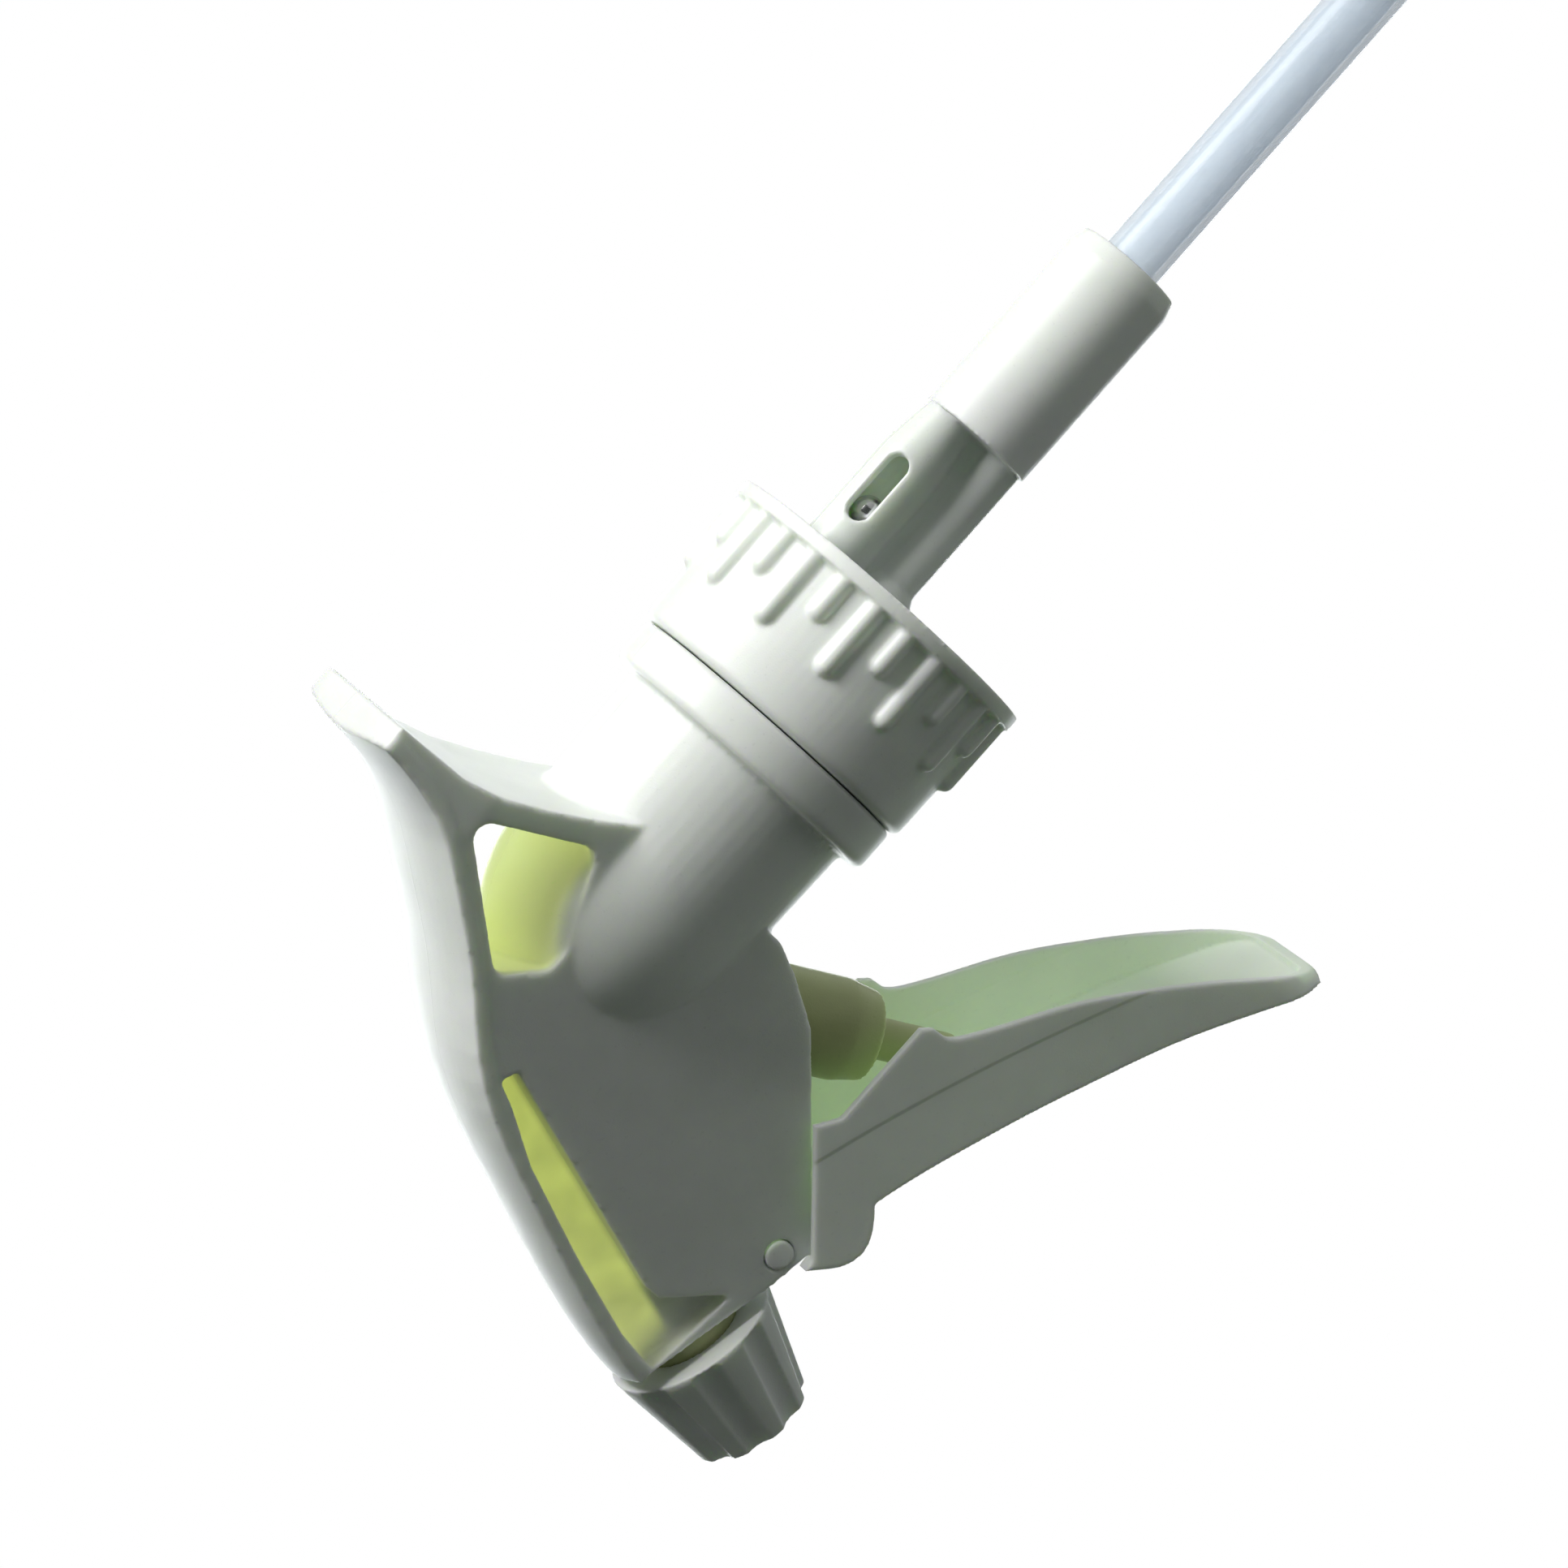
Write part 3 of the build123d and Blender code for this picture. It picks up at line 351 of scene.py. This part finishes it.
def settle(piece, name, body, finish, slot, *nodes):
    """Name a finished piece, bring its object to the origin, give its finish, and hang it on its body."""
    choose(piece)
    bpy.ops.object.transform_apply(location=True, rotation=True, scale=True)
    piece.name = piece.data.name = name
    piece.data.materials.clear()
    piece.data.materials.append(finish)
    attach(piece, body)
    if nodes:
        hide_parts(*nodes)
    return piece


def copy_of(node):
    """A free, merged copy of a CAD node."""
    choose(frame["nodes"][node])
    bpy.ops.object.duplicate()
    piece = bpy.context.object
    piece.parent = None
    piece.matrix_world = Matrix.Identity(4)
    for key in list(piece.keys()):
        del piece[key]
    edit(piece, (bpy.ops.mesh.remove_doubles, {"threshold": 0.002 * MM}))
    return piece


def reskin(piece, cell, rounding, limit):
    """Rebuild a moulding's skin in even cells, round its edges, and thin the flats to a face limit."""
    modify(piece, "REMESH", mode="VOXEL", voxel_size=cell, use_smooth_shade=True)
    modify(piece, "SMOOTH", factor=0.5, iterations=rounding)
    faces = sum(len(face.vertices) - 2 for face in piece.data.polygons)
    if faces > limit:
        modify(piece, "DECIMATE", ratio=limit / faces, use_collapse_triangulate=True)
    choose(piece)
    bpy.ops.object.shade_smooth()


# --------------------------------------------------------------------------------------- operators
class BuildStep(Operator):
    """What the building operators share."""
    bl_options = {"REGISTER", "UNDO"}

    @property
    def sizes(self):
        return bpy.context.scene.sprayer_sizes

    @property
    def colours(self):
        return bpy.context.scene.sprayer_colours


class SPRAYER_OT_stage(BuildStep):
    """Set up the camera, the lights, the floor and the room"""
    bl_idname = "sprayer.stage"
    bl_label = "Stage"

    def lamp(self, name, way, distance, size, power, tint):
        """A soft square light that shines at the head from one side."""
        spot = VIEW_TARGET + Vector(way).normalized() * distance
        bpy.ops.object.light_add(type="AREA", location=spot)
        light = bpy.context.object
        light.name = name
        light.data.size = size
        light.data.energy = power
        light.data.color = tint
        light.rotation_euler = (VIEW_TARGET - spot).to_track_quat("-Z", "Y").to_euler()

    def execute(self, context):
        stage = context.scene.sprayer_stage
        azimuth, elevation = math.radians(stage.azimuth), math.radians(stage.elevation)
        back = Vector((math.sin(azimuth) * math.cos(elevation), -math.cos(azimuth) * math.cos(elevation),
                       math.sin(elevation)))
        bpy.ops.object.camera_add(location=VIEW_TARGET + back * stage.distance)
        camera = context.object
        camera.name = "camera"
        level = (-back).to_track_quat("-Z", "Y").to_matrix()
        camera.rotation_euler = (level @ Matrix.Rotation(math.radians(stage.roll), 3, "Z")).to_euler()
        camera.data.lens = camera.data.sensor_width * stage.distance / stage.view_width
        camera.data.clip_start, camera.data.clip_end = 0.01, 10
        context.scene.camera = camera
        self.lamp("key_light", (0.03, 1, -0.02), 0.85, 0.42, stage.key_power, (1.0, 1.0, 0.98))
        self.lamp("far_side_light", (-0.88, -0.44, 0.12), 0.8, 0.7, stage.fill_power, (0.94, 0.98, 1.0))
        bpy.ops.mesh.primitive_circle_add(vertices=96, radius=FLOOR_RADIUS, fill_type="NGON",
                                          location=(0, 0, NECK_FLOOR - FLOOR_GAP))
        floor = context.object
        floor.name = "floor"
        bpy.ops.object.transform_apply(location=True)
        paper = Finish("floor_paper", PAPER, 0.7)
        fibre = paper.noise(0.9 * MM, 4.0)
        paper.feed("Base Color", paper.mix(fibre.between(0.4, 0.7) * 0.3, PAPER, PAPER_FIBRE))
        paper.relief(fibre, 0.02 * MM)
        floor.data.materials.append(paper.made)
        room = bpy.data.worlds.new("room")
        room.use_nodes = True
        nodes, links = room.node_tree.nodes, room.node_tree.links
        seen = nodes.new("ShaderNodeBackground")
        seen.inputs["Color"].default_value = (1, 1, 1, 1)
        soft = nodes["Background"]
        soft.inputs["Color"].default_value = (0.90, 1.0, 0.90, 1)
        soft.inputs["Strength"].default_value = stage.ambient
        path, choice = nodes.new("ShaderNodeLightPath"), nodes.new("ShaderNodeMixShader")
        links.new(path.outputs["Is Camera Ray"], choice.inputs[0])
        links.new(soft.outputs[0], choice.inputs[1])
        links.new(seen.outputs[0], choice.inputs[2])
        links.new(choice.outputs[0], nodes["World Output"].inputs["Surface"])
        context.scene.world = room
        context.scene.view_settings.view_transform = "Standard"
        return {"FINISHED"}


class SPRAYER_OT_shells(BuildStep):
    """Build the moulded shells: housing, closure and nozzle cap"""
    bl_idname = "sprayer.shells"
    bl_label = "Moulded shells"

    def execute(self, context):
        sizes, shell = self.sizes, self.colours.shell
        plastic = moulded("shell_plastic", shell, shade(shell, 0.93), 1.6 * MM, seam=sizes.seam_width)
        self.paint_web_glow(plastic)
        smooth = moulded("nozzle_plastic", shell, shade(shell, 0.93), 1.2 * MM).made
        ribbed = moulded("closure_plastic", shade(shell, 1.02), shade(shell, 0.95), 1.2 * MM, 0.42).made
        housing = copy_of("housing")
        reskin(housing, sizes.shell_cell, sizes.rounding, HOUSING_FACES)
        settle(housing, "housing_shell", "head", plastic.made, "housing_plastic", "housing")
        closure = copy_of("closure")
        reskin(closure, sizes.fine_cell, sizes.rounding - 1, CLOSURE_FACES)
        settle(closure, "ribbed_closure", "closure", ribbed, "closure_plastic", "closure")
        cap = copy_of("nozzle_cap")
        reskin(cap, sizes.fine_cell * 0.8, sizes.rounding - 1, SMALL_FACES)
        settle(cap, "fluted_nozzle_cap", "nozzle", smooth, "nozzle_plastic", "nozzle_cap")
        return {"FINISHED"}

    def paint_web_glow(self, plastic):
        """Paint a glow on the web in the side pockets and on the walls of the window, standing in for light
        coming through the thin plastic.
        """
        x, y, z = plastic.axes()
        painted_web_glow = 1 - x.size().between(3.7, 4.5)
        below_band = 1 - (z - curve_at(y, BAND_UNDERSIDE)).between(0.3, 0.9)
        length_wise = y.between(-32.6, -28.5) * (1 - y.between(0.6, 2.0))
        pocket = painted_web_glow * height_over(y, z, SHELF_EDGE).between(-0.5, 0.6) * below_band * length_wise
        inside = 1 - x.size().between(8.4, 9.6)
        window = inside * y.between(3.6, 4.6) * height_over(y, z, WINDOW_FOOT).between(-0.9, -0.5)
        window = window * (1 - height_over(y, z, WINDOW_TOP).between(0.5, 0.9))
        cloud = plastic.noise(3.5 * MM, 2.0).between(0.2, 0.8)
        # Painted glow: an emission on the pocket webs and window walls, standing in for light coming through
        # the thin plastic.
        light_through(plastic, pocket * (0.7 + cloud * 0.3) + window * 0.5, self.colours.painted_web_glow)


class SPRAYER_OT_trigger(BuildStep):
    """Build the trigger lever with the raised step along its sides"""
    bl_idname = "sprayer.trigger"
    bl_label = "Trigger"

    def execute(self, context):
        sizes, shell = self.sizes, self.colours.shell
        lever = copy_of("trigger")
        reskin(lever, sizes.fine_cell, sizes.rounding, MEDIUM_FACES)
        plastic = moulded("trigger_plastic", shell, shade(shell, 0.94), 1.4 * MM, step=LEVER_CREASE)
        x, y, z = plastic.axes()
        # Painted glow on the trigger's inner walls: an emission standing in for light coming through the thin
        # plastic.
        inside = (1 - x.size().between(7.7, 8.1)) * (y - curve_at(z, LEVER_FRONT)).between(0.7, 1.5)
        light_through(plastic, inside, PAINTED_LEVER_GLOW)
        settle(lever, "trigger_lever", "trigger", plastic.made, "trigger_plastic", "trigger")
        return {"FINISHED"}


class SPRAYER_OT_pump(BuildStep):
    """Build the pump body, the piston and its springs"""
    bl_idname = "sprayer.pump"
    bl_label = "Pump"

    def execute(self, context):
        sizes, natural = self.sizes, self.colours.natural
        plastic = moulded("pump_plastic", natural, shade(natural, 0.85), 1.8 * MM, 0.33).made
        body = copy_of("pump_body")
        reskin(body, sizes.shell_cell, sizes.rounding - 1, PUMP_FACES)
        settle(body, "pump_moulding", "head", plastic, "pump_plastic", "pump_body")
        for node in ("piston", "swirl_core", "orifice_insert"):
            frame["nodes"][node].data.materials.clear()
            frame["nodes"][node].data.materials.append(plastic)
        wire = steel("spring_wire", self.colours.steel, (1, 0.2, 1))
        barrel_way = self.way("piston_slide")
        nozzle_way = self.way("discharge_lift")
        for node, joint, way, keep in (("return_spring", "trigger_pivot", barrel_way, 0.4),
                                       ("discharge_spring", "discharge_lift", nozzle_way, 0.85)):
            spring = copy_of(node)
            choose(spring)
            bpy.ops.object.shade_smooth()
            settle(spring, node + "_coil", "head", wire, "spring_steel", node)
            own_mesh(spring)
        return {"FINISHED"}

    def way(self, joint):
        """The direction of a sliding joint."""
        return Vector(next(j["axis"] for j in frame["joints"] if j["name"] == joint)).normalized()


class SPRAYER_OT_stem(BuildStep):
    """Build the intake stem, the sleeve and the dip tube"""
    bl_idname = "sprayer.stem"
    bl_label = "Stem and tube"

    def execute(self, context):
        sizes, tone = self.sizes, self.colours.stem
        plastic = moulded("stem_plastic", tone, shade(tone, 0.95), 1.6 * MM, 0.34, seam=sizes.seam_width).made
        smooth = moulded("sleeve_plastic", shade(self.colours.shell, 1.02), tone, 1.2 * MM).made
        stem = copy_of("intake_stem")
        reskin(stem, sizes.fine_cell, sizes.rounding - 1, MEDIUM_FACES)
        settle(stem, "two_barrel_stem", "head", plastic, "stem_plastic", "intake_stem")
        sleeve = copy_of("stem_sleeve")
        reskin(sleeve, sizes.fine_cell, sizes.rounding - 1, SMALL_FACES)
        settle(sleeve, "tube_sleeve", "head", smooth, "sleeve_plastic", "stem_sleeve")
        tube = copy_of("dip_tube")
        choose(tube)
        bpy.ops.object.shade_smooth_by_angle(angle=math.radians(40))
        settle(tube, "clear_dip_tube", "head", clear_tube("tube_plastic", self.colours.tube), "tube_plastic",
               "dip_tube")
        return {"FINISHED"}


class SPRAYER_OT_finishes(BuildStep):
    """Give the balls, seals and gasket their finishes"""
    bl_idname = "sprayer.finishes"
    bl_label = "Small parts"

    def execute(self, context):
        rubber = elastic("seal_rubber", self.colours.rubber, 0.12 * MM, 0.006 * MM, 0.55)
        foam = elastic("gasket_foam", self.colours.foam, 0.22 * MM, 0.03 * MM, 0.8)
        ball = steel("ball_steel", self.colours.steel, (1, 1, 1))
        finishes = {rubber: ("body_seal", "vent_seal", "piston_seal", "nozzle_seal", "discharge_valve"),
                    foam: ("neck_gasket",), ball: ("bypass_ball", "inlet_ball")}
        for finish, nodes in finishes.items():
            for node in nodes:
                part = frame["nodes"][node]
                part.data.materials.clear()
                part.data.materials.append(finish)
        return {"FINISHED"}


BUILD_ORDER = (SPRAYER_OT_stage, SPRAYER_OT_shells, SPRAYER_OT_trigger, SPRAYER_OT_pump, SPRAYER_OT_stem,
               SPRAYER_OT_finishes)


class SPRAYER_PT_panel(Panel):
    """The sprayer's building steps"""
    bl_idname = "SPRAYER_PT_panel"
    bl_label = "Sprayer"
    bl_space_type = "VIEW_3D"
    bl_region_type = "UI"
    bl_category = "Sprayer"

    def draw(self, context):
        for step in BUILD_ORDER:
            self.layout.operator(step.bl_idname)
        scene = context.scene
        for group in (scene.sprayer_sizes, scene.sprayer_colours, scene.sprayer_stage):
            box = self.layout.box()
            for name in group.bl_rna.properties.keys()[2:]:
                box.prop(group, name)


CLASSES = (SprayerSizes, SprayerColours, SprayerStage, *BUILD_ORDER, SPRAYER_PT_panel)


def register():
    for kind in CLASSES:
        bpy.utils.register_class(kind)
    bpy.types.Scene.sprayer_sizes = PointerProperty(type=SprayerSizes)
    bpy.types.Scene.sprayer_colours = PointerProperty(type=SprayerColours)
    bpy.types.Scene.sprayer_stage = PointerProperty(type=SprayerStage)


def unregister():
    for name in ("sprayer_sizes", "sprayer_colours", "sprayer_stage"):
        delattr(bpy.types.Scene, name)
    for kind in reversed(CLASSES):
        bpy.utils.unregister_class(kind)


def main():
    register()
    bpy.ops.sprayer.stage()
    bpy.ops.sprayer.shells()
    bpy.ops.sprayer.trigger()
    bpy.ops.sprayer.pump()
    bpy.ops.sprayer.stem()
    bpy.ops.sprayer.finishes()


if __name__ == "__main__":
    main()
